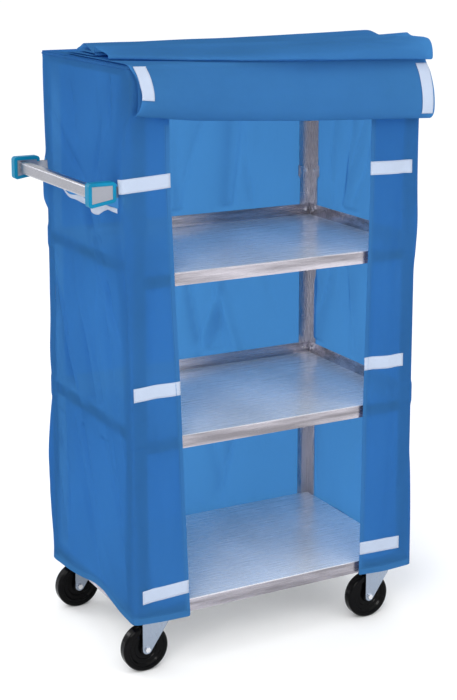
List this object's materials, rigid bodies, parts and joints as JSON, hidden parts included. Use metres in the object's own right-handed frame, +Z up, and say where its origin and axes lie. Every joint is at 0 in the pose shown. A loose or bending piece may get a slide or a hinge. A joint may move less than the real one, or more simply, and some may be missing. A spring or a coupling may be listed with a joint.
{
  "type": "linen trolley",
  "caption": "Covered linen trolley: stainless shelves between corner posts on swivel casters, fabric cover with a turned-up door curtain and a push handle at one end.",
  "frame": {"origin": "on the floor, in the middle of the whole trolley's footprint, push handle and turned-up curtain included", "axes": "+Z up, +X along the front towards the end away from the push handle, -Y out of the open front"},
  "size_m": [0.958, 0.6138, 1.64],
  "materials": {
    "stainless": "brushed stainless sheet",
    "fastener_steel": "bright plated",
    "zinc_plate": "bright zinc-plated pressing",
    "bush_steel": "turned steel",
    "cast_metal": "satin casting",
    "teal_bumper": "satin moulded elastomer",
    "wheel_black": "polished hard black moulding",
    "blue_nylon": "thin woven nylon, slightly see-through",
    "white_tape": "white hook-and-loop tape and binding"
  },
  "bodies": {
    "chassis": {"bottom_shelf": "stainless", "caster_bolts": "fastener_steel", "caster_channel_left": "stainless", "caster_channel_right": "stainless", "caster_kingpins": "fastener_steel", "caster_plate_back_left": "zinc_plate", "caster_plate_back_right": "zinc_plate", "caster_plate_front_left": "zinc_plate", "caster_plate_front_right": "zinc_plate", "cover_back": "blue_nylon", "cover_left": "blue_nylon", "cover_right": "blue_nylon", "cover_top": "blue_nylon", "curtain_strips": "white_tape", "door_curtain": "blue_nylon", "flap_patches": "white_tape", "frame_nuts": "fastener_steel", "frame_screws": "fastener_steel", "front_flap_left": "blue_nylon", "front_flap_right": "blue_nylon", "handle_bar": "stainless", "handle_bolts": "fastener_steel", "handle_bracket_back": "cast_metal", "handle_bracket_front": "cast_metal", "handle_bumper_back": "teal_bumper", "handle_bumper_front": "teal_bumper", "handle_slot_trim": "white_tape", "lower_post_back_left": "stainless", "lower_post_back_right": "stainless", "lower_post_front_left": "stainless", "lower_post_front_right": "stainless", "middle_shelf": "stainless", "middle_shelf_channel": "stainless", "splice_angles": "stainless", "top_rail_back": "stainless", "top_rail_front": "stainless", "top_rail_left": "stainless", "top_rail_right": "stainless", "top_shelf": "stainless", "top_shelf_channel": "stainless", "upper_post_back_left": "stainless", "upper_post_back_right": "stainless", "upper_post_front_left": "stainless", "upper_post_front_right": "stainless"},
    "fork_front_left": {"caster_axle_front_left": "fastener_steel", "caster_fork_front_left": "zinc_plate", "wheel_bush_front_left": "bush_steel"},
    "wheel_front_left": {"caster_wheel_front_left": "wheel_black"},
    "fork_front_right": {"caster_axle_front_right": "fastener_steel", "caster_fork_front_right": "zinc_plate", "wheel_bush_front_right": "bush_steel"},
    "wheel_front_right": {"caster_wheel_front_right": "wheel_black"},
    "fork_back_left": {"caster_axle_back_left": "fastener_steel", "caster_fork_back_left": "zinc_plate", "wheel_bush_back_left": "bush_steel"},
    "wheel_back_left": {"caster_wheel_back_left": "wheel_black"},
    "fork_back_right": {"caster_axle_back_right": "fastener_steel", "caster_fork_back_right": "zinc_plate", "wheel_bush_back_right": "bush_steel"},
    "wheel_back_right": {"caster_wheel_back_right": "wheel_black"}
  },
  "joints": [
    {"name": "swivel_front_left", "type": "hinge", "parent": "chassis", "child": "fork_front_left", "pos_m": [-0.297, -0.1965, 0.151], "axis": [0, 0, 1], "continuous": true},
    {"name": "roll_front_left", "type": "hinge", "parent": "fork_front_left", "child": "wheel_front_left", "pos_m": [-0.328, -0.1965, 0.0635], "axis": [0, 1, 0], "continuous": true},
    {"name": "swivel_front_right", "type": "hinge", "parent": "chassis", "child": "fork_front_right", "pos_m": [0.395, -0.1965, 0.151], "axis": [0, 0, 1], "continuous": true},
    {"name": "roll_front_right", "type": "hinge", "parent": "fork_front_right", "child": "wheel_front_right", "pos_m": [0.364, -0.1965, 0.0635], "axis": [0, 1, 0], "continuous": true},
    {"name": "swivel_back_left", "type": "hinge", "parent": "chassis", "child": "fork_back_left", "pos_m": [-0.297, 0.2535, 0.151], "axis": [0, 0, 1], "continuous": true},
    {"name": "roll_back_left", "type": "hinge", "parent": "fork_back_left", "child": "wheel_back_left", "pos_m": [-0.328, 0.2535, 0.0635], "axis": [0, 1, 0], "continuous": true},
    {"name": "swivel_back_right", "type": "hinge", "parent": "chassis", "child": "fork_back_right", "pos_m": [0.395, 0.2535, 0.151], "axis": [0, 0, 1], "continuous": true},
    {"name": "roll_back_right", "type": "hinge", "parent": "fork_back_right", "child": "wheel_back_right", "pos_m": [0.364, 0.2535, 0.0635], "axis": [0, 1, 0], "continuous": true}
  ]
}
